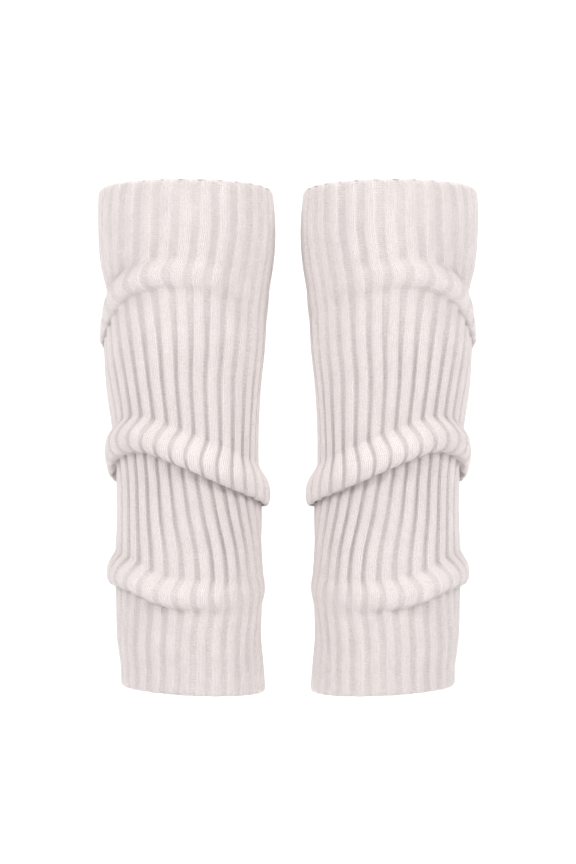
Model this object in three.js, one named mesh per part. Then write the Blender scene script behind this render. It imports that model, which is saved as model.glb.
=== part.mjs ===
// A pair of rib-knit leg warmers, in the form they take on a wearer's calves: two open tubes that slouch into three
// rolled folds each. Millimetres, +Z up, the front faces -Y. The origin lies midway between the two legs, level with
// the backs of their top edges. The tube at -X is built from the tables below, and the tube at +X is its mirror image.
import * as THREE from "three";

// Driving sizes
const WORN_LENGTH = 363; // top edge to bottom edge
const RIB_COUNT = 28; // raised ribs around a tube
const RIB_HEIGHT = 1.9; // how far a rib stands out of the cloth
const GROOVE_WALL = 1.4; // cloth left under a groove
const EDGE_TILT = 2.5; // the bottom edge is this much lower on its inner side, and higher on its outer side
const TOP_ARCH = 3; // the top edge stands this much higher at the front than at the back
const YARN_COLOUR = 0xeae1e0;

// Rows of points in each plain stretch of cloth, and points across each rib on the outside and the inside
const STRETCH_ROWS = 3;
const OUTER_POINTS = 3;
const INNER_POINTS = 1;

// Sections of the tube without its folds. down: depth below the top edge. middle: from the pair's middle plane to the
// section's centre. width, depth: the half axes. back: the centre's place towards +Y. turn: how far the ribs have
// wandered round the leg, in degrees. gather: how much closer together they lie at the front than at the back.
// groove: the share of a rib's pitch that its groove takes.
const SECTIONS = [
  { down: 0, middle: 75, width: 64, depth: 61, back: 0, turn: -3, gather: 0.02, groove: 0.52 },
  { down: 12, middle: 75, width: 65, depth: 61.5, back: 0.5, turn: -4, gather: 0.01, groove: 0.51 },
  { down: 32, middle: 74.5, width: 65, depth: 61.5, back: 1, turn: -5, gather: 0, groove: 0.5 },
  { down: 52, middle: 74.5, width: 63.5, depth: 60.5, back: 2, turn: -7, gather: 0, groove: 0.48 },
  { down: 80, middle: 73.5, width: 58.5, depth: 57.5, back: 3, turn: -9, gather: 0, groove: 0.46 },
  { down: 112, middle: 76, width: 59, depth: 57, back: 3, turn: -4, gather: 0.1, groove: 0.38 },
  { down: 140, middle: 76.5, width: 57, depth: 54.5, back: 3, turn: -2.5, gather: 0.17, groove: 0.33 },
  { down: 169, middle: 75.5, width: 54.5, depth: 52, back: 2, turn: -1, gather: 0.2, groove: 0.3 },
  { down: 205, middle: 73.5, width: 52.5, depth: 50, back: 1, turn: -1, gather: 0.2, groove: 0.3 },
  { down: 233, middle: 72.5, width: 53, depth: 50, back: 1, turn: 1.5, gather: 0.15, groove: 0.3 },
  { down: 262, middle: 73, width: 53.5, depth: 49.5, back: 0, turn: 8, gather: 0.08, groove: 0.33 },
  { down: 297, middle: 72.5, width: 54, depth: 50, back: 0, turn: 8.5, gather: 0.03, groove: 0.44 },
  { down: 327, middle: 72.5, width: 53.5, depth: 50.5, back: -1, turn: 5.5, gather: 0.03, groove: 0.48 },
  { down: 346, middle: 70.5, width: 52.5, depth: 50.5, back: -1, turn: 3.5, gather: 0.02, groove: 0.5 },
  { down: WORN_LENGTH, middle: 69.5, width: 52.5, depth: 50.5, back: -1, turn: 1.5, gather: 0, groove: 0.52 },
];

// The folds, from the top. above, below: the plain cloth that the fold takes up, from its middle. rows: its rows of
// points. Each station, at an angle from the front towards +X: lip, the depth of the fold's lower edge; out, how far it stands out; drop, how far it hangs over;
// drag, how far it pulls the ribs round the leg, in degrees.
const FOLDS = [
  {
    above: 15,
    below: 10,
    rows: 8,
    stations: [
      { at: -180, lip: 104, out: 2.5, drop: 4, drag: 2 },
      { at: -135, lip: 111, out: 4, drop: 6, drag: -2 },
      { at: -90, lip: 112, out: 5, drop: 7, drag: -5 },
      { at: -70, lip: 97, out: 5.5, drop: 7, drag: -8 },
      { at: -50, lip: 82, out: 5, drop: 5, drag: -9 },
      { at: -20, lip: 72, out: 3.5, drop: 3, drag: -6 },
      { at: 0, lip: 71, out: 2.2, drop: 2, drag: -3 },
      { at: 25, lip: 74, out: 1, drop: 1, drag: -1 },
      { at: 60, lip: 82, out: 0.3, drop: 0.3, drag: 0 },
      { at: 120, lip: 96, out: 1.5, drop: 2, drag: 2 },
    ],
  },
  {
    above: 16,
    below: 11.5,
    rows: 10,
    stations: [
      { at: -180, lip: 222, out: 5, drop: 9, drag: 3 },
      { at: -135, lip: 216, out: 5.5, drop: 11, drag: 1 },
      { at: -90, lip: 209, out: 6, drop: 14, drag: -3 },
      { at: -60, lip: 195, out: 8, drop: 12, drag: -6 },
      { at: -30, lip: 189.5, out: 8.5, drop: 11, drag: -7 },
      { at: 0, lip: 200, out: 8.5, drop: 10, drag: -7 },
      { at: 30, lip: 212, out: 8.5, drop: 10, drag: -7.5 },
      { at: 60, lip: 222, out: 8.5, drop: 10.5, drag: -7 },
      { at: 90, lip: 229, out: 8, drop: 11, drag: -5 },
      { at: 135, lip: 230, out: 6.5, drop: 10, drag: 2 },
    ],
  },
  {
    above: 14,
    below: 9,
    rows: 8,
    stations: [
      { at: -180, lip: 292, out: 3, drop: 5, drag: 2 },
      { at: -135, lip: 289, out: 4.5, drop: 8, drag: 0 },
      { at: -90, lip: 286, out: 6, drop: 9, drag: -5 },
      { at: -60, lip: 287, out: 6.5, drop: 9, drag: -8 },
      { at: -40, lip: 290, out: 6.5, drop: 9, drag: -8 },
      { at: -15, lip: 298, out: 6, drop: 7.5, drag: -6 },
      { at: 8, lip: 300, out: 4.5, drop: 4.5, drag: -4 },
      { at: 30, lip: 299, out: 2.5, drop: 2, drag: -2 },
      { at: 60, lip: 297, out: 1.5, drop: 1, drag: -1 },
      { at: 100, lip: 296, out: 1.2, drop: 1.5, drag: 0 },
      { at: 140, lip: 294, out: 2, drop: 3.5, drag: 1 },
    ],
  },
];

// The shape of a rolled fold: it stands out furthest a little above its middle and hangs furthest a little below it,
// and its lip lies these shares of below and of drop under its middle.
const ROLL_SKEW = 0.2;
const UNDERSIDE_POWER = 1.5;
const LIP_OF_BELOW = 0.3;
const LIP_OF_DROP = 0.95;
// The inner face follows a fold by these shares, so that the rolled cloth is thicker than the plain wall.
const INNER_OUT = 0.6;
const INNER_DROP = 0.4;
const TUCK_GROOVE = 0.2; // the share of a groove's depth that is left where the cloth tucks in under a fold

const radians = THREE.MathUtils.degToRad;

// The value of a column at x, on a smooth curve through the table's rows; with a period, the table repeats.
function read(table, places, column, x, period = 0) {
  const count = table.length;
  const row = (i) => {
    const turns = Math.floor(i / count);
    const found = table[i - turns * count];
    return { x: found[places] + turns * period, value: found[column] };
  };
  const last = period ? count : count - 1;
  const wrapped = period ? THREE.MathUtils.euclideanModulo(x - table[0][places], period) + table[0][places] : x;
  let i = 0;
  while (i < last - 1 && wrapped > row(i + 1).x) i += 1;
  const [from, to] = [row(i), row(i + 1)];
  const before = period || i > 0 ? row(i - 1) : from;
  const after = period || i < last - 1 ? row(i + 2) : to;
  const span = to.x - from.x;
  const t = THREE.MathUtils.clamp((wrapped - from.x) / span, 0, 1);
  const startSlope = ((to.value - before.value) / (to.x - before.x)) * span;
  const endSlope = ((after.value - from.value) / (after.x - from.x)) * span;
  const bend = to.value - from.value;
  return (
    from.value +
    t * startSlope +
    t * t * (3 * bend - 2 * startSlope - endSlope) +
    t * t * t * (startSlope + endSlope - 2 * bend)
  );
}
const section = (down, column) => read(SECTIONS, "down", column, down);
const station = (fold, angle, column) => read(fold.stations, "at", column, angle, 360);

// A smooth hump over p from -1 to 1. Skew moves its top towards -1, and a smaller power makes its far side fuller.
function hump(p, skew, farPower = 2) {
  const q = p + skew * (1 - p * p);
  return Math.max(Math.cos((q * Math.PI) / 2), 0) ** (q > 0 ? farPower : 2);
}

// How far a row is tucked in under a fold, from 0 to 1.
function tuck(row) {
  if (row.fold !== undefined) return THREE.MathUtils.smoothstep(row.part, 0, 0.5);
  return row.stretch > 0 ? 1 - THREE.MathUtils.smoothstep(row.part, 0, 0.3) : 0;
}

// The rows of points down the cloth. In a plain stretch, part runs from 0 to 1; in a fold, from -1 to 1.
function clothRows() {
  const rows = [];
  FOLDS.forEach((fold, i) => {
    for (let k = 0; k < STRETCH_ROWS; k += 1) rows.push({ stretch: i, part: k / STRETCH_ROWS });
    for (let k = 0; k < fold.rows; k += 1) rows.push({ fold: i, part: (2 * k) / fold.rows - 1 });
  });
  for (let k = 0; k <= STRETCH_ROWS; k += 1) rows.push({ stretch: FOLDS.length, part: k / STRETCH_ROWS });
  return rows;
}

// The depth of a fold's middle, before the cloth hangs over.
function foldMiddle(fold, angle) {
  return station(fold, angle, "lip") - LIP_OF_BELOW * fold.below - LIP_OF_DROP * station(fold, angle, "drop");
}

// How deep a row would lie if the cloth hung straight.
function plainDepth(row, angle) {
  if (row.fold !== undefined) {
    const fold = FOLDS[row.fold];
    return foldMiddle(fold, angle) + row.part * (row.part < 0 ? fold.above : fold.below);
  }
  const [above, below] = [FOLDS[row.stretch - 1], FOLDS[row.stretch]];
  const bottomEdge = WORN_LENGTH + EDGE_TILT * Math.sin(radians(angle));
  const topEdge = (-TOP_ARCH * (1 + Math.cos(radians(angle)))) / 2;
  const start = above ? foldMiddle(above, angle) + above.below : topEdge;
  const end = below ? foldMiddle(below, angle) - below.above : bottomEdge;
  return THREE.MathUtils.lerp(start, end, row.part);
}

// A point of the cloth, inset from the tops of the ribs. courseAngle names a line of stitches by its angle before the
// ribs wander.
function clothPoint(row, courseAngle, inset, inner) {
  const firstDepth = plainDepth(row, courseAngle);
  const spread = THREE.MathUtils.radToDeg(section(firstDepth, "gather")) * Math.sin(radians(courseAngle));
  const angle = courseAngle + section(firstDepth, "turn") - spread;
  const plain = plainDepth(row, angle);
  let [out, drop, drag] = [0, 0, 0];
  if (row.fold !== undefined) {
    const fold = FOLDS[row.fold];
    const standing = hump(row.part, ROLL_SKEW, UNDERSIDE_POWER);
    out = station(fold, angle, "out") * standing;
    drag = station(fold, angle, "drag") * standing;
    drop = station(fold, angle, "drop") * hump(row.part, -ROLL_SKEW);
  }
  const reach = out * (inner ? INNER_OUT : 1) - inset;
  const place = radians(angle + drag);
  return new THREE.Vector3(
    -section(plain, "middle") + (section(plain, "width") + reach) * Math.sin(place),
    section(plain, "back") - (section(plain, "depth") + reach) * Math.cos(place),
    -plain - drop * (inner ? INNER_DROP : 1),
  );
}

// One knitted tube: an outer face with raised ribs over a plain inner face, joined at the top and bottom edges.
function knittedTube() {
  const rows = clothRows();
  const pitch = 360 / RIB_COUNT;
  const [outerCount, innerCount] = [RIB_COUNT * OUTER_POINTS, RIB_COUNT * INNER_POINTS];
  const points = [];
  rows.forEach((row) => {
    const grooveDepth = RIB_HEIGHT * THREE.MathUtils.lerp(1, TUCK_GROOVE, tuck(row));
    for (let rib = 0; rib < RIB_COUNT; rib += 1) {
      const grooveAngle = rib * pitch - 180;
      const halfGroove = (section(plainDepth(row, grooveAngle), "groove") * pitch) / 2;
      points.push(clothPoint(row, grooveAngle, grooveDepth, false));
      points.push(clothPoint(row, grooveAngle + halfGroove, 0, false));
      points.push(clothPoint(row, grooveAngle + pitch - halfGroove, 0, false));
    }
  });
  const innerStart = points.length;
  rows.forEach((row) => {
    for (let rib = 0; rib < innerCount; rib += 1) {
      points.push(clothPoint(row, rib * pitch - 180, RIB_HEIGHT + GROOVE_WALL, true));
    }
  });

  const outerAt = (k, i) => k * outerCount + (i % outerCount);
  const innerAt = (k, i) => innerStart + k * innerCount + (i % innerCount);
  const faces = [];
  const quad = (a, b, c, d) => faces.push(a, b, c, a, c, d);
  for (let k = 0; k < rows.length - 1; k += 1) {
    for (let i = 0; i < outerCount; i += 1) quad(outerAt(k, i), outerAt(k + 1, i), outerAt(k + 1, i + 1), outerAt(k, i + 1));
    for (let i = 0; i < innerCount; i += 1) quad(innerAt(k, i), innerAt(k, i + 1), innerAt(k + 1, i + 1), innerAt(k + 1, i));
  }
  // The edges: each inner segment meets the outer points of one rib.
  const lastRow = rows.length - 1;
  for (let rib = 0; rib < RIB_COUNT; rib += 1) {
    for (const [k, flip] of [[0, false], [lastRow, true]]) {
      const [near, far] = [innerAt(k, rib), innerAt(k, rib + 1)];
      const rim = Array.from({ length: OUTER_POINTS + 1 }, (_, i) => outerAt(k, rib * OUTER_POINTS + i));
      const middle = Math.floor(OUTER_POINTS / 2);
      const fan = [];
      for (let i = 0; i < OUTER_POINTS; i += 1) fan.push([i <= middle - 1 ? near : far, rim[i], rim[i + 1]]);
      fan.push([near, rim[middle], far]);
      for (const [a, b, c] of fan) faces.push(...(flip ? [a, c, b] : [a, b, c]));
    }
  }
  const geometry = new THREE.BufferGeometry().setFromPoints(points);
  geometry.setIndex(faces);
  geometry.computeVertexNormals();
  return geometry;
}

const tube = knittedTube();
const pair = new THREE.Group();
for (const [name, side] of [["leg_warmer_left", 1], ["leg_warmer_right", -1]]) {
  const yarn = new THREE.MeshStandardMaterial({ color: YARN_COLOUR, roughness: 0.95, metalness: 0 });
  const legWarmer = new THREE.Mesh(tube, yarn);
  legWarmer.name = name;
  legWarmer.scale.x = side;
  pair.add(legWarmer);
}

export default pair;
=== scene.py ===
import math

import bpy
import numpy as np
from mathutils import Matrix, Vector


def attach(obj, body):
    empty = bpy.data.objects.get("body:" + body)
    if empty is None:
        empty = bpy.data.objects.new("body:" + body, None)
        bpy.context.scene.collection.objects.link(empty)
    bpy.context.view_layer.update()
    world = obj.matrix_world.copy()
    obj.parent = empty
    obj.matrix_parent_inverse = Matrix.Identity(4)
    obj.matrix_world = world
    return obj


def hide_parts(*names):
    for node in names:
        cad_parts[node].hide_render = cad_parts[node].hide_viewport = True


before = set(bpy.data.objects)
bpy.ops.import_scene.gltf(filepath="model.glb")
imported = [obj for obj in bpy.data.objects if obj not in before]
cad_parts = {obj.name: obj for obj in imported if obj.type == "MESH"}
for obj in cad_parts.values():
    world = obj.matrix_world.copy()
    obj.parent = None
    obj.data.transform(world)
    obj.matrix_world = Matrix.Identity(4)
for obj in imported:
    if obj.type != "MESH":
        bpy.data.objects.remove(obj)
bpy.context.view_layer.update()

METRES = 0.001  # in a millimetre

# Driving sizes of the tubes, as in the solids
WORN_LENGTH = 363
RIB_COUNT = 28
RIB_HEIGHT = 1.9
WALL = 3.3  # from the top of a rib to the inner face
TOP_ARCH = 3  # the top edge stands this much higher at the front than at the back
EDGE_TILT = 2.5  # the bottom edge is this much lower on its inner side, and higher on its outer side

# Sections of the tube without its folds. down: depth below the top edge. middle: from the pair's middle
# plane to the section's centre. width, depth: the half axes. back: the centre's place towards +Y. turn: how
# far the ribs have wandered round the leg, in degrees. gather: how much closer together they lie at the front
# than at the back. groove: the share of a rib's pitch that its groove takes.
SECTION_COLUMNS = ("down", "middle", "width", "depth", "back", "turn", "gather", "groove")
SECTIONS = (
    (0, 75, 64, 61, 0, -3, 0.02, 0.52),
    (12, 75, 65, 61.5, 0.5, -4, 0.01, 0.51),
    (32, 74.5, 65, 61.5, 1, -5, 0, 0.5),
    (52, 74.5, 63.5, 60.5, 2, -7, 0, 0.48),
    (80, 73.5, 58.5, 57.5, 3, -9, 0, 0.46),
    (112, 76, 59, 57, 3, -4, 0.1, 0.38),
    (140, 76.5, 57, 54.5, 3, -2.5, 0.17, 0.33),
    (169, 75.5, 54.5, 52, 2, -1, 0.2, 0.3),
    (205, 73.5, 52.5, 50, 1, -1, 0.2, 0.3),
    (233, 72.5, 53, 50, 1, 1.5, 0.15, 0.3),
    (262, 73, 53.5, 49.5, 0, 8, 0.08, 0.33),
    (297, 72.5, 54, 50, 0, 8.5, 0.03, 0.44),
    (327, 72.5, 53.5, 50.5, -1, 5.5, 0.03, 0.48),
    (346, 70.5, 52.5, 50.5, -1, 3.5, 0.02, 0.5),
    (WORN_LENGTH, 69.5, 52.5, 50.5, -1, 1.5, 0, 0.52),
)

# The folds, from the top. above, below: the plain cloth that the fold takes up, from its middle. Each
# station, at an angle from the front towards +X: lip, the depth of the fold's lower edge; out, how far it
# stands out; drop, how far it hangs over; drag, how far it pulls the ribs round the leg, in degrees.
STATION_COLUMNS = ("at", "lip", "out", "drop", "drag")
FOLDS = (
    {
        "above": 15,
        "below": 10,
        "stations": (
            (-180, 104, 2.5, 4, 2),
            (-135, 111, 4, 6, -2),
            (-90, 112, 5, 7, -5),
            (-70, 97, 5.5, 7, -8),
            (-50, 82, 5, 5, -9),
            (-20, 72, 3.5, 3, -6),
            (0, 71, 2.2, 2, -3),
            (25, 74, 1, 1, -1),
            (60, 82, 0.3, 0.3, 0),
            (120, 96, 1.5, 2, 2),
        ),
    },
    {
        "above": 16,
        "below": 12.5,
        "stations": (
            (-180, 222, 5, 9, 3),
            (-135, 216, 5.5, 11, 1),
            (-90, 209, 6, 13, -3),
            (-60, 194, 8, 9, -6),
            (-30, 189, 8.5, 6.5, -7),
            (0, 199, 8.5, 6.5, -7),
            (30, 212, 8.5, 8, -7.5),
            (60, 222, 8.5, 9.5, -7),
            (90, 229, 8, 11, -5),
            (135, 230, 6.5, 10, 2),
        ),
    },
    {
        "above": 14,
        "below": 11,
        "stations": (
            (-180, 292, 3, 4, 2),
            (-135, 289, 4.5, 6, 0),
            (-90, 286, 6, 8, -5),
            (-60, 287, 6.5, 7, -8),
            (-40, 290, 6.5, 5, -8),
            (-15, 298, 6, 4, -6),
            (8, 300, 4.5, 3, -4),
            (30, 299, 2.5, 2, -2),
            (60, 297, 1.5, 1, -1),
            (100, 296, 1.2, 1.5, 0),
            (140, 294, 2, 3.5, 1),
        ),
    },
)
ROLL_SKEW = 0.2  # how far the top of a fold lies off its middle, towards the top edge
UNDERSIDE_POWER = 1.5  # below 2, the underside of a fold is fuller than its upper side
LIP_OF_BELOW = 0.3  # a lip lies this share of below under the fold's middle,
LIP_OF_DROP = 0.95  # and this share of the drop besides
INNER_OUT = 0.6  # the share of a fold's height that the inner face follows,
INNER_DROP = 0.4  # and the share of its drop
TUCK_GROOVE = 0.9  # the share of a groove's depth that is left where the cloth tucks in under a fold
TUCK_FROM = 0.5  # the cloth is fully tucked in this far down from a fold's middle,
TUCK_TO = 0.3  # and has come out again this far down the plain stretch below
CROWN_FLATTER = 0.35  # the share of a groove's depth that is pulled flat at the top of a fold

# Rows of points down each plain stretch, and down each fold
STRETCH_ROWS = (30, 45, 34, 34)
FOLD_ROWS = (32, 40, 32)

# The columns of points across one rib and its groove. across: 0 to 1 over the rib, 1 to 2 over the groove.
# sunk: the share of the groove's depth. wale: the line of stitches. purl: 1 where the cloth shows its purl
# side.
RIB_COLUMNS = ("across", "sunk", "wale", "purl")
RIB_PROFILE = (
    (0, 0.46, 0, 0.5),
    (0.17, 0.08, 0.5, 0),
    (0.33, 0, 1, 0),
    (0.5, -0.03, 1.5, 0),
    (0.67, 0, 2, 0),
    (0.83, 0.08, 2.5, 0),
    (1, 0.46, 3, 0.5),
    (1.17, 0.88, 3.33, 1),
    (1.33, 1, 3.67, 1),
    (1.5, 1, 4, 1),
    (1.67, 1, 4.33, 1),
    (1.83, 0.88, 4.67, 1),
)
WALES_A_RIB = 5
COURSE_HEIGHT = 2.3
EVEN_GROOVE = 0.5  # the share of the pitch at which a groove is as deep as a rib is high
NARROW_DEEPER = 1.8  # how much deeper a groove gets as the ribs on its two sides close over it
GROOVE_RANGE = (0.2, 0.6)  # the least and the greatest share of the pitch that a groove takes
INNER_EVERY = 4  # one inner column for this many outer ones
EDGE_ROUND = 1.6  # how far in from an edge the cloth rounds off
EDGE_SUNK = 1.1  # how far the outer face draws in at the edge itself

# Unevenness: of a groove's share of the pitch, of a rib's place in degrees, and of the cloth's surface
GROOVE_UNEVEN = 0.035
RIB_WANDER = 0.5
CLOTH_UNEVEN = 0.45
GROOVE_SEED = 1
WANDER_SEED = 2
CLOTH_SEED = 3

# Fibre ends of the brushed yarn. Where a fibre's middle and tip are: out from the cloth, and along it
NAP_FIBRES = 36000
NAP_LENGTH = 2.6
NAP_SHORTEST = 0.4  # as a share of the length
NAP_WIDTH = 0.07
NAP_MIDDLE = (0.42, 0.3)
NAP_TIP = (0.55, 0.85)
NAP_SEED = 11

# The surface. Slants and arcs are in courses, relief is a share of RELIEF_DEPTH, which is in metres, and a
# shade is a share of the yarn's colour.
# The shades paint shade into the colour between the stitches, in the purl grooves and under the folds. The
# clouds and fibres give random tone.
YARN_COLOUR = (0.87, 0.795, 0.783, 1)
FIBRE_COLOUR = (0.85, 0.775, 0.765, 1)
FIBRE_SCALE = 900
CLOUD_SCALE = 60
STITCH_SLANT = 1.3
STITCH_RELIEF = 0.16
PURL_ARC = 0.2
PURL_WANDER = 2.5
PURL_RELIEF = 0.3
PURL_LEVEL = 0.4
FIBRE_RELIEF = 0.9
RELIEF_DEPTH = 0.0008
RELIEF_STRENGTH = 0.75
# The next two paint shade into the colour: the yarn is drawn darker where its relief is low, between the
# stitches. The fibres in the relief add random tone.
LOW_SHADE = 0.84
RELIEF_PAINTED_SHADE = 0.11
CLOUD_SHADE = 0.12
# Painted shade: the purl grooves are drawn darker
PURL_PAINTED_SHADE = 0.14
FIBRE_SHADE = 0.3
# Painted shade from cloth nearby: the yarn is drawn darker where little light gets in, in the grooves and in
# the tucks under the folds
CLOSED_SHADE = 0.765  # where no light gets in from the side
OPEN_SHADE = 0.28  # what an open place has more
OPEN_REACH = 0.012  # how near cloth has to be to keep light out, in metres

# The sweep of paper, the lights and the camera, in metres and watts
SWEEP_FRONT = -3.0
SWEEP_BEND = 0.6  # where the floor starts to bend up
SWEEP_RADIUS = 0.6
SWEEP_HEIGHT = 3.0
SWEEP_HALF_WIDTH = 4
SWEEP_FLOOR = -0.75
PAPER_COLOUR = (0.95, 0.95, 0.95, 1)
SKY_STRENGTH = 0.46
# Each light: its name, its place, what it is aimed at, its size and its power
LIGHTS = (
    ("left_key", (-1.5, -1.3, 0.95), (0, 0, -0.18), 0.9, 24),
    ("right_key", (1.5, -1.3, 0.95), (0, 0, -0.18), 0.9, 24),
    ("backdrop_light", (0.0, 0.2, 1.6), (0, 1.2, -0.2), 2.0, 18),
)
CAMERA_DISTANCE = 1.47
CAMERA_HEIGHT = -0.1756
SENSOR_SIZE = 36  # millimetres
PHOTO_HEIGHT = 864  # pixels
PIXEL_SIZE = 0.000735


def column(table, names, name):
    return np.array([row[names.index(name)] for row in table], dtype=float)


def curve(places, values, x, period=None):
    """The value at x of a smooth curve through the table's points; with a period, the table repeats."""
    if period:
        places = np.concatenate((places[-2:] - period, places, places[:3] + period))
        values = np.concatenate((values[-2:], values, values[:3]))
        x = (x - places[2]) % period + places[2]
    slopes = np.empty(len(places))
    slopes[1:-1] = (values[2:] - values[:-2]) / (places[2:] - places[:-2])
    slopes[0] = (values[1] - values[0]) / (places[1] - places[0])
    slopes[-1] = (values[-1] - values[-2]) / (places[-1] - places[-2])
    i = np.clip(np.searchsorted(places, x, side="right") - 1, 0, len(places) - 2)
    span = places[i + 1] - places[i]
    t = np.clip((x - places[i]) / span, 0, 1)
    start, end = slopes[i] * span, slopes[i + 1] * span
    bend = values[i + 1] - values[i]
    return values[i] + t * start + t**2 * (3 * bend - 2 * start - end) + t**3 * (start + end - 2 * bend)


def section(down, name):
    return curve(column(SECTIONS, SECTION_COLUMNS, "down"), column(SECTIONS, SECTION_COLUMNS, name), down)


def station(fold, angle, name):
    table = FOLDS[fold]["stations"]
    return curve(column(table, STATION_COLUMNS, "at"), column(table, STATION_COLUMNS, name), angle, 360)


def hump(p, skew, far_power=2.0):
    """A smooth hump over p from -1 to 1. Skew moves its top towards -1, and a smaller far_power makes its
    far side fuller."""
    q = p + skew * (1 - p * p)
    return np.maximum(np.cos(q * np.pi / 2), 0) ** np.where(q > 0, far_power, 2.0)


def smoothstep(x, low, high):
    t = np.clip((x - low) / (high - low), 0, 1)
    return t * t * (3 - 2 * t)


def cloth_rows():
    """The rows down the cloth: (kind, index, part), part 0 to 1 in a plain stretch and -1 to 1 in a fold."""
    rows = []
    for i, count in enumerate(STRETCH_ROWS):
        rows += [("stretch", i, k / count) for k in range(count)]
        if i < len(FOLDS):
            rows += [("fold", i, 2 * k / FOLD_ROWS[i] - 1) for k in range(FOLD_ROWS[i])]
    return rows + [("stretch", len(STRETCH_ROWS) - 1, 1.0)]


def fold_middle(fold, angle):
    """The depth of a fold's middle, before the cloth hangs over."""
    lip = station(fold, angle, "lip")
    return lip - LIP_OF_BELOW * FOLDS[fold]["below"] - LIP_OF_DROP * station(fold, angle, "drop")


def plain_depth(row, angle):
    """How deep a row would lie if the cloth hung straight."""
    kind, index, part = row
    if kind == "fold":
        return fold_middle(index, angle) + part * FOLDS[index]["above" if part < 0 else "below"]
    if index:
        start = fold_middle(index - 1, angle) + FOLDS[index - 1]["below"]
    else:
        start = -TOP_ARCH * (1 + np.cos(np.radians(angle))) / 2
    if index < len(FOLDS):
        end = fold_middle(index, angle) - FOLDS[index]["above"]
    else:
        end = WORN_LENGTH + EDGE_TILT * np.sin(np.radians(angle))
    return start + (end - start) * part


def cloth_point(row, course_angle, inset, inner=False):
    """Points of the cloth along one row, inset from the tops of the ribs."""
    kind, index, part = row
    first = plain_depth(row, course_angle)
    spread = np.degrees(section(first, "gather")) * np.sin(np.radians(course_angle))
    angle = course_angle + section(first, "turn") - spread
    plain = plain_depth(row, angle)
    out = drop = drag = 0
    if kind == "fold":
        standing = hump(np.float64(part), ROLL_SKEW, UNDERSIDE_POWER)
        out = station(index, angle, "out") * standing
        drag = station(index, angle, "drag") * standing
        drop = station(index, angle, "drop") * hump(np.float64(part), -ROLL_SKEW)
    reach = out * (INNER_OUT if inner else 1) - inset
    place = np.radians(angle + drag)
    x = -section(plain, "middle") + (section(plain, "width") + reach) * np.sin(place)
    y = section(plain, "back") - (section(plain, "depth") + reach) * np.cos(place)
    z = -plain - drop * (INNER_DROP if inner else 1)
    return np.stack((x, y, z), axis=-1)


def tucked(row):
    """How far a row is tucked in under a fold, from 0 to 1."""
    kind, index, part = row
    if kind == "fold":
        return smoothstep(part, 0, TUCK_FROM)
    return 1 - smoothstep(part, 0, TUCK_TO) if index else 0.0


def crown(row):
    """How near a row is to the top of a fold, from 0 to 1."""
    kind, index, part = row
    return hump(np.float64(part), ROLL_SKEW) if kind == "fold" else 0.0


def rng_at(seed):
    return np.random.default_rng(seed)


def soft_noise(rng, u, v, waves, low, high):
    """Smooth unevenness over u and v, each from 0 to 1 with u going round, between about -1 and 1."""
    total = np.zeros(np.broadcast(u, v).shape)
    for _ in range(waves):
        around, along = rng.integers(0, high), rng.uniform(low, high)
        total += np.sin(2 * np.pi * (around * u + along * v + rng.uniform()))
    return total / math.sqrt(waves)


def knitted_tube():
    """The outer and inner points of one tube, and the courses, wales and purl shares of the outer ones."""
    rows = cloth_rows()
    pitch = 360 / RIB_COUNT
    profile = {name: column(RIB_PROFILE, RIB_COLUMNS, name) for name in RIB_COLUMNS}
    across, sunk = np.tile(profile["across"], RIB_COUNT), np.tile(profile["sunk"], RIB_COUNT)
    rib = np.repeat(np.arange(RIB_COUNT), len(RIB_PROFILE))
    rib_centre = (rib + 0.5) * pitch - 180
    around = rib / RIB_COUNT
    outer = []
    for k, row in enumerate(rows):
        share = k / (len(rows) - 1)
        groove = section(plain_depth(row, rib_centre), "groove")
        uneven = soft_noise(rng_at(GROOVE_SEED), around, share, waves=5, low=1, high=5)
        groove = np.clip(groove + GROOVE_UNEVEN * uneven, *GROOVE_RANGE)
        over_rib = (across - 0.5) * (1 - groove)
        over_groove = (1 - groove) / 2 + (across - 1) * groove
        angle = rib_centre + np.where(across <= 1, over_rib, over_groove) * pitch
        angle = angle + RIB_WANDER * soft_noise(rng_at(WANDER_SEED), around, share, waves=5, low=1, high=5)
        depth = RIB_HEIGHT * (1 + NARROW_DEEPER * (EVEN_GROOVE - groove))
        depth = depth * (1 + (TUCK_GROOVE - 1) * tucked(row)) * (1 - CROWN_FLATTER * crown(row))
        edge = min(k, len(rows) - 1 - k) * WORN_LENGTH / len(rows)
        rounding = max(0.0, 1 - edge / EDGE_ROUND) ** 2
        point_around = (rib + across / 2) / RIB_COUNT
        rise = CLOTH_UNEVEN * soft_noise(rng_at(CLOTH_SEED), point_around, share, waves=8, low=1, high=6)
        outer.append(cloth_point(row, angle, sunk * depth + rounding * EDGE_SUNK - rise))
    outer = np.array(outer)
    # The plain inner face needs every other row only, with the last one kept
    inner_rows = rows[::2] if len(rows) % 2 else rows[::2] + rows[-1:]
    inner_angles = np.arange(0, len(across), INNER_EVERY) / len(across) * 360 - 180
    inner = np.array([cloth_point(row, inner_angles, WALL, inner=True) for row in inner_rows])

    lengths = np.linalg.norm(np.diff(outer, axis=0), axis=2).mean(axis=1)
    course = np.concatenate(([0], np.cumsum(lengths))) / COURSE_HEIGHT
    wale = np.tile(profile["wale"], RIB_COUNT) + rib * WALES_A_RIB
    return outer, inner, course, wale, np.tile(profile["purl"], RIB_COUNT)


def grid_faces(rows, columns, start, flip):
    """Quads over a grid of points that closes on itself, where start is the number of its first point."""
    k, i = np.meshgrid(np.arange(rows - 1), np.arange(columns), indexing="ij")
    after = (i + 1) % columns
    corners = [(k, i), (k + 1, i), (k + 1, after), (k, after)]
    if flip:
        corners.reverse()
    return np.stack([start + a * columns + b for a, b in corners], axis=-1).reshape(-1, 4)


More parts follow.
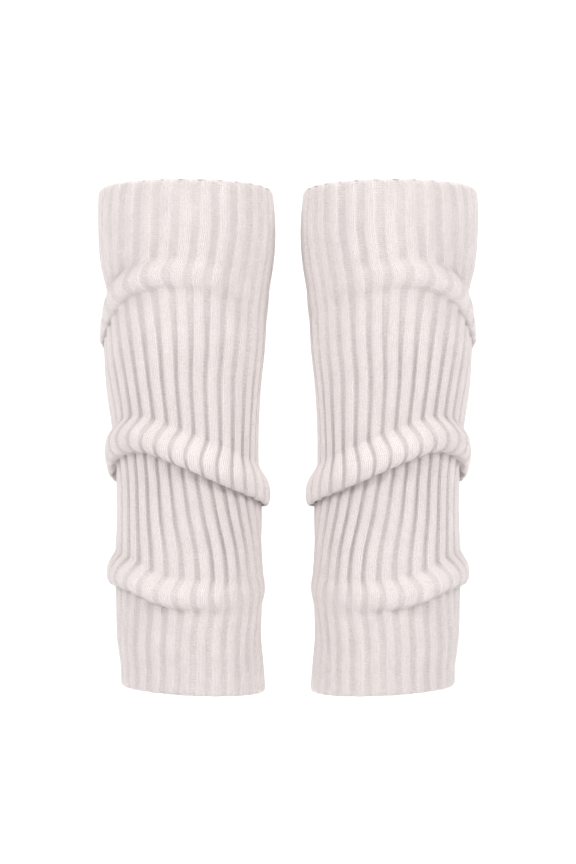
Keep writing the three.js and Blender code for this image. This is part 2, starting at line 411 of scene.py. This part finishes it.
def rim_faces(rows, columns, inner_rows, inner_columns, side):
    """The faces between the outer and the inner points along the top edge and along the bottom edge."""
    faces = []
    for outer_row, inner_row, flip in ((0, 0, side < 0), (rows - 1, inner_rows - 1, side > 0)):
        first = rows * columns + inner_row * inner_columns
        for i in range(inner_columns):
            near = first + i
            far = first + (i + 1) % inner_columns
            rim = [outer_row * columns + (i * INNER_EVERY + j) % columns for j in range(INNER_EVERY + 1)]
            half = INNER_EVERY // 2
            edge = [(near if j < half else far, rim[j], rim[j + 1]) for j in range(INNER_EVERY)]
            edge.append((near, rim[half], far))
            faces += [face[::-1] if flip else face for face in edge]
    return faces


def make_leg(name, side, material):
    """One leg warmer: an outer face with its ribs, an inner face, and the edges between them."""
    outer, inner, course, wale, purl = knitted_tube()
    rows, columns = outer.shape[:2]
    inner_rows, inner_columns = inner.shape[:2]
    points = np.concatenate((outer.reshape(-1, 3), inner.reshape(-1, 3))) * METRES
    points[:, 0] *= side
    outside = grid_faces(rows, columns, 0, side < 0)
    inside = grid_faces(inner_rows, inner_columns, rows * columns, side > 0)
    faces = np.concatenate((outside, inside)).tolist()
    body_faces = len(faces)
    faces += rim_faces(rows, columns, inner_rows, inner_columns, side)
    mesh = bpy.data.meshes.new(name)
    mesh.from_pydata(points.tolist(), [], faces)
    add_stitches(mesh, rows, columns, course, wale, purl)
    mesh.polygons.foreach_set("use_smooth", np.arange(len(mesh.polygons)) < body_faces)
    mesh.materials.append(material)
    piece = bpy.data.objects.new(name, mesh)
    bpy.context.scene.collection.objects.link(piece)
    return piece, outer * METRES * np.array((side, 1, 1))


def make_nap(name, outer, material, rng):
    """Loose fibre ends of the brushed yarn: thin bent strips that stand a little way off the outer face."""
    rows, columns = outer.shape[:2]
    row = rng.uniform(1, rows - 3, NAP_FIBRES)
    k, t = row.astype(int), row % 1
    i = rng.integers(0, columns, NAP_FIBRES)
    root = outer[k, i] * (1 - t)[:, None] + outer[k + 1, i] * t[:, None]
    along = outer[k + 1, i] - outer[k, i]
    across = outer[k, (i + 1) % columns] - outer[k, i]
    along /= np.linalg.norm(along, axis=1)[:, None]
    across /= np.linalg.norm(across, axis=1)[:, None]
    outward = np.cross(along, across)
    outward /= np.linalg.norm(outward, axis=1)[:, None]
    outward *= np.sign((outward * (root - outer.mean(axis=(0, 1)))).sum(axis=1))[:, None]
    heading = rng.uniform(0, 2 * np.pi, NAP_FIBRES)
    lying = along * np.cos(heading)[:, None] + across * np.sin(heading)[:, None]
    beside = along * -np.sin(heading)[:, None] + across * np.cos(heading)[:, None]
    reach = rng.uniform(NAP_SHORTEST, 1, NAP_FIBRES)[:, None] * NAP_LENGTH * METRES
    half_width = beside * NAP_WIDTH * METRES / 2
    middle = root + (outward * NAP_MIDDLE[0] + lying * NAP_MIDDLE[1]) * reach
    tip = root + (outward * NAP_TIP[0] + lying * NAP_TIP[1]) * reach
    strip = (root - half_width, root + half_width, middle - half_width, middle + half_width, tip)
    points = np.stack(strip, axis=1)
    first = np.arange(NAP_FIBRES)[:, None] * len(strip)
    faces = (first + np.array([0, 1, 3, 2])).tolist() + (first + np.array([2, 3, 4])).tolist()
    mesh = bpy.data.meshes.new(name)
    mesh.from_pydata(points.reshape(-1, 3).tolist(), [], faces)
    mesh.materials.append(material)
    piece = bpy.data.objects.new(name, mesh)
    bpy.context.scene.collection.objects.link(piece)
    return piece


def add_stitches(mesh, rows, columns, course, wale, purl):
    """Stores each point's wale and course as texture coordinates, and its purl share as an attribute."""
    purl_share = mesh.attributes.new("purl", "FLOAT", "POINT")
    values = np.zeros(len(mesh.vertices), dtype=np.float32)
    values[: rows * columns] = np.tile(purl, rows)
    purl_share.data.foreach_set("value", values)
    corners = np.empty(len(mesh.loops), dtype=np.int32)
    mesh.loops.foreach_get("vertex_index", corners)
    owner = np.repeat(np.arange(len(mesh.polygons)), [p.loop_total for p in mesh.polygons])
    is_outer = corners < rows * columns
    column_of = np.where(is_outer, corners % columns, 0)
    row_of = np.where(is_outer, corners // columns, 0)
    u = wale[column_of]
    # Faces on the last column end at the first column's points, where the wales would start again from 0
    last = np.full(len(mesh.polygons), False)
    np.logical_or.at(last, owner, column_of == columns - 1)
    u = np.where(last[owner] & (column_of == 0) & is_outer, RIB_COUNT * WALES_A_RIB, u)
    places = np.stack((u, course[row_of]), axis=-1).astype(np.float32)
    mesh.uv_layers.new(name="stitches").data.foreach_set("uv", places.ravel())


def node(tree, kind, inputs=(), **settings):
    made = tree.nodes.new(kind)
    for key, value in settings.items():
        setattr(made, key, value)
    for place, value in dict(inputs).items():
        if isinstance(value, bpy.types.NodeSocket):
            tree.links.new(value, made.inputs[place])
        else:
            made.inputs[place].default_value = value
    return made


def maths(tree, operation, *values):
    return node(tree, "ShaderNodeMath", dict(enumerate(values)), operation=operation).outputs[0]


def knit_relief(tree, purl, fibres, clouds):
    """The height of the cloth: V stitches on the ribs, rows of small arcs in the grooves, fibres on both."""
    stitches = node(tree, "ShaderNodeUVMap", uv_map="stitches").outputs["UV"]
    parts = node(tree, "ShaderNodeSeparateXYZ", {0: stitches})
    wale, course = parts.outputs["X"], parts.outputs["Y"]

    # Knit side: each wale is highest midway between its centre and its edges
    off_centre = maths(tree, "ABSOLUTE", maths(tree, "SUBTRACT", maths(tree, "FRACT", wale), 0.5))
    leg_top = maths(tree, "SINE", maths(tree, "MULTIPLY", off_centre, 2 * math.pi))
    slanted = maths(tree, "SUBTRACT", course, maths(tree, "MULTIPLY", off_centre, STITCH_SLANT))
    stitch = maths(tree, "SINE", maths(tree, "MULTIPLY", slanted, 2 * math.pi))
    knit = maths(tree, "MULTIPLY_ADD", stitch, STITCH_RELIEF, leg_top)

    # Purl side: two arcs a wale, in rows that wander
    arcs = maths(tree, "SINE", maths(tree, "MULTIPLY", wale, 4 * math.pi))
    arc_rows = maths(tree, "MULTIPLY_ADD", arcs, PURL_ARC, course)
    arc_rows = maths(tree, "MULTIPLY_ADD", clouds, PURL_WANDER, arc_rows)
    purl_bumps = maths(tree, "SINE", maths(tree, "MULTIPLY", arc_rows, 2 * math.pi))
    purl_bumps = maths(tree, "MULTIPLY_ADD", purl_bumps, PURL_RELIEF, PURL_LEVEL)

    height = node(tree, "ShaderNodeMix", {0: purl, 2: knit, 3: purl_bumps}).outputs[0]
    return maths(tree, "MULTIPLY_ADD", fibres, FIBRE_RELIEF, height)


def painted_shade_and_tone(tree, relief, purl, fibres, clouds):
    """How light the yarn looks, as painted shade deep between the stitches, in the grooves and under the
    folds, and as random lighter and darker tone from clouds and fibres.
    """
    # Painted shade where the relief is low, between the stitches
    shade = maths(tree, "MULTIPLY_ADD", relief, RELIEF_PAINTED_SHADE, LOW_SHADE)
    shade = maths(tree, "MULTIPLY_ADD", maths(tree, "SUBTRACT", clouds, 0.5), CLOUD_SHADE, shade)
    # Painted shade in the purl grooves
    shade = maths(tree, "SUBTRACT", shade, maths(tree, "MULTIPLY", purl, PURL_PAINTED_SHADE))
    shade = maths(tree, "MULTIPLY_ADD", maths(tree, "SUBTRACT", fibres, 0.5), FIBRE_SHADE, shade)
    # Painted shade where cloth lies near, in the grooves and under the folds
    openness = node(tree, "ShaderNodeAmbientOcclusion", {"Distance": OPEN_REACH}, samples=8).outputs["AO"]
    return maths(tree, "MULTIPLY", shade, maths(tree, "MULTIPLY_ADD", openness, OPEN_SHADE, CLOSED_SHADE))


def knit_material():
    """Off-white brushed acrylic: stitches as relief, purl grooves a little darker by painted shade, painted
    shade between the stitches and under the folds, and a soft sheen.
    """
    material = bpy.data.materials.new("rib_knit")
    material.use_nodes = True
    tree = material.node_tree
    shader = tree.nodes["Principled BSDF"]
    purl = node(tree, "ShaderNodeAttribute", attribute_name="purl").outputs["Fac"]
    places = node(tree, "ShaderNodeTexCoord").outputs["Object"]
    fine = {"Vector": places, "Scale": FIBRE_SCALE, "Detail": 3, "Roughness": 0.65}
    fibres = node(tree, "ShaderNodeTexNoise", fine).outputs["Fac"]
    coarse = {"Vector": places, "Scale": CLOUD_SCALE, "Detail": 3}
    clouds = node(tree, "ShaderNodeTexNoise", coarse).outputs["Fac"]

    relief = knit_relief(tree, purl, fibres, clouds)
    raised = {"Height": relief, "Distance": RELIEF_DEPTH, "Strength": RELIEF_STRENGTH}
    bump = node(tree, "ShaderNodeBump", raised)
    tree.links.new(bump.outputs["Normal"], shader.inputs["Normal"])

    yarn = node(tree, "ShaderNodeRGB")
    yarn.outputs[0].default_value = YARN_COLOUR
    shade = painted_shade_and_tone(tree, relief, purl, fibres, clouds)
    colour = node(tree, "ShaderNodeVectorMath", {0: yarn.outputs[0], "Scale": shade}, operation="SCALE")
    tree.links.new(colour.outputs[0], shader.inputs["Base Color"])
    shader.inputs["Roughness"].default_value = 0.95
    shader.inputs["Sheen Weight"].default_value = 0.35
    shader.inputs["Sheen Roughness"].default_value = 0.6
    shader.inputs["Specular IOR Level"].default_value = 0.15
    return material


def nap_material():
    """Single fibres of the same yarn."""
    material = bpy.data.materials.new("nap")
    material.use_nodes = True
    shader = material.node_tree.nodes["Principled BSDF"]
    shader.inputs["Base Color"].default_value = FIBRE_COLOUR
    shader.inputs["Roughness"].default_value = 1
    shader.inputs["Specular IOR Level"].default_value = 0.1
    return material


def paper_material():
    """White paper with a front only, so that it doesn't hide the pair in a view from behind it."""
    material = bpy.data.materials.new("paper")
    material.use_nodes = True
    tree = material.node_tree
    front = tree.nodes["Principled BSDF"]
    front.inputs["Base Color"].default_value = PAPER_COLOUR
    front.inputs["Roughness"].default_value = 1
    behind = node(tree, "ShaderNodeNewGeometry").outputs["Backfacing"]
    clear = node(tree, "ShaderNodeBsdfTransparent").outputs[0]
    sided = node(tree, "ShaderNodeMixShader", {0: behind, 1: front.outputs[0], 2: clear}).outputs[0]
    tree.links.new(sided, tree.nodes["Material Output"].inputs["Surface"])
    return material


def make_sweep():
    """A sheet of paper below and behind the pair, bent up without an edge."""
    bend = [
        (SWEEP_BEND + SWEEP_RADIUS * math.sin(a), SWEEP_RADIUS - SWEEP_RADIUS * math.cos(a))
        for a in np.linspace(0, math.pi / 2, 10)
    ]
    profile = [(SWEEP_FRONT, 0.0), *bend, (SWEEP_BEND + SWEEP_RADIUS, SWEEP_HEIGHT)]
    points = [(x, y, z + SWEEP_FLOOR) for y, z in profile for x in (-SWEEP_HALF_WIDTH, SWEEP_HALF_WIDTH)]
    faces = [(2 * i, 2 * i + 1, 2 * i + 3, 2 * i + 2) for i in range(len(profile) - 1)]
    mesh = bpy.data.meshes.new("sweep")
    mesh.from_pydata(points, [], faces)
    mesh.polygons.foreach_set("use_smooth", np.ones(len(mesh.polygons), dtype=bool))
    mesh.materials.append(paper_material())
    sweep = bpy.data.objects.new("sweep", mesh)
    bpy.context.scene.collection.objects.link(sweep)


def studio():
    """The sweep, an even sky, and soft light from both sides of the front and from above."""
    make_sweep()
    world = bpy.data.worlds.new("studio")
    bpy.context.scene.world = world
    world.use_nodes = True
    world.node_tree.nodes["Background"].inputs["Color"].default_value = (1, 1, 1, 1)
    world.node_tree.nodes["Background"].inputs["Strength"].default_value = SKY_STRENGTH
    for name, place, target, size, power in LIGHTS:
        lamp = bpy.data.lights.new(name, "AREA")
        lamp.size = size
        lamp.energy = power
        light = bpy.data.objects.new(name, lamp)
        light.location = place
        light.rotation_euler = (Vector(target) - Vector(place)).to_track_quat("-Z", "Y").to_euler()
        bpy.context.scene.collection.objects.link(light)


def camera():
    """Level with the pair's middle, looking along +Y from where the photo was taken."""
    data = bpy.data.cameras.new("camera")
    data.sensor_width = SENSOR_SIZE
    data.lens = SENSOR_SIZE * CAMERA_DISTANCE / (PHOTO_HEIGHT * PIXEL_SIZE)
    view = bpy.data.objects.new("camera", data)
    view.location = (0, -CAMERA_DISTANCE, CAMERA_HEIGHT)
    view.rotation_euler = (math.pi / 2, 0, 0)
    bpy.context.scene.collection.objects.link(view)
    bpy.context.scene.camera = view


yarn = knit_material()
fibre = nap_material()
for name, side in (("left", 1), ("right", -1)):
    leg, outer = make_leg(name + "_leg_warmer", side, yarn)
    nap = make_nap(name + "_nap", outer, fibre, rng_at(NAP_SEED))
    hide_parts("leg_warmer_" + name)
    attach(leg, "root")
    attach(nap, "root")
studio()
camera()
bpy.context.scene.view_settings.view_transform = "Standard"
